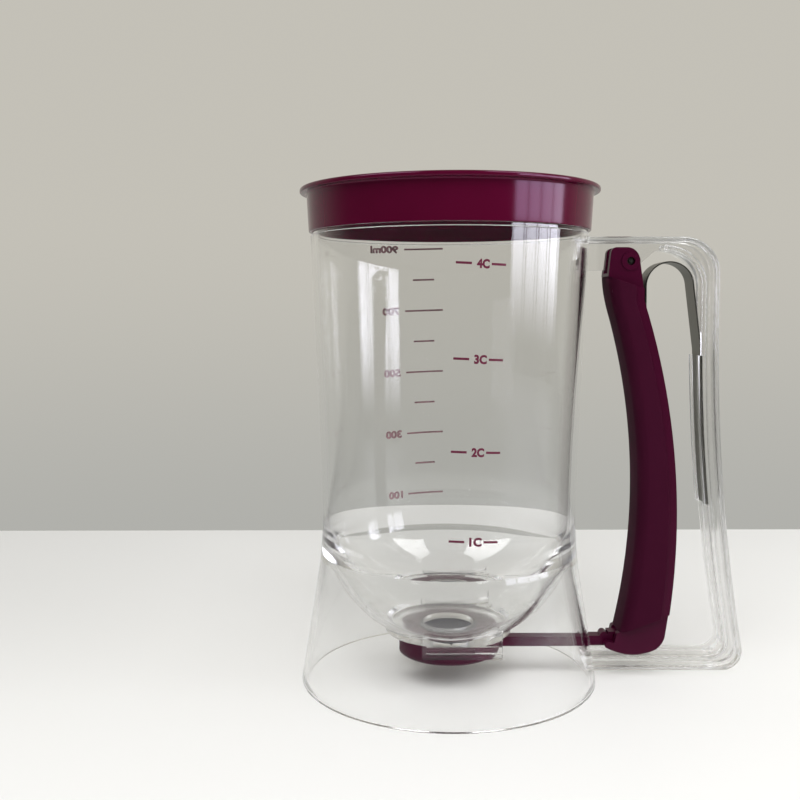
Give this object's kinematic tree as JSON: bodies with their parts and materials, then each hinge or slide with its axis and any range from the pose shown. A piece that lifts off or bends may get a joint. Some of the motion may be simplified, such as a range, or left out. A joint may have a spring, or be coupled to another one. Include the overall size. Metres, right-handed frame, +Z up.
{
  "type": "pancake batter dispenser",
  "caption": "Clear hand-held jar with a squeeze lever in its handle that slides a valve off the outlet under a hemispherical floor, with a press-on lid and a flared foot.",
  "frame": {"origin": "centre of the footprint, on the surface that the jar stands on", "axes": "+Z up along the jar's axis, +X from the jar towards the handle, +Y to the far side; the jar's axis is at X = -28.58 mm"},
  "size_m": [0.173, 0.1158, 0.1903],
  "materials": {
    "clear_plastic": "clear, polished",
    "maroon_plastic": "satin",
    "grip_rubber": "matt, soft",
    "steel": "spring steel, bright",
    "silicone": "matt silicone"
  },
  "bodies": {
    "jar_body": {"jar": "clear_plastic", "handle_frame": "clear_plastic", "pivot_pin": "steel", "return_spring": "steel"},
    "lever": {"trigger_lever": "maroon_plastic", "grip_cover": "grip_rubber"},
    "lid": {"lid": "maroon_plastic"},
    "valve": {"valve_slider": "maroon_plastic", "valve_seal": "silicone"}
  },
  "joints": [
    {"name": "lever_hinge", "type": "hinge", "parent": "jar_body", "child": "lever", "pos_m": [0.04002, 0, 0.163], "axis": [0, -1, 0], "range_deg": [0, 6.5], "stiffness_Nm_per_rad": 4, "springref_deg": -4.58, "deforming": ["return_spring"]},
    {"name": "valve_slide", "type": "slide", "parent": "jar_body", "child": "valve", "axis": [1, 0, 0], "range_m": [0, 0.0169]},
    {"name": "lid_lift", "type": "slide", "parent": "jar_body", "child": "lid", "axis": [0, 0, 1], "range_m": [0, 0.03]}
  ],
  "couplings": [
    {"joint": "valve_slide", "follows": "lever_hinge", "m_per_rad": 0.14815}
  ]
}
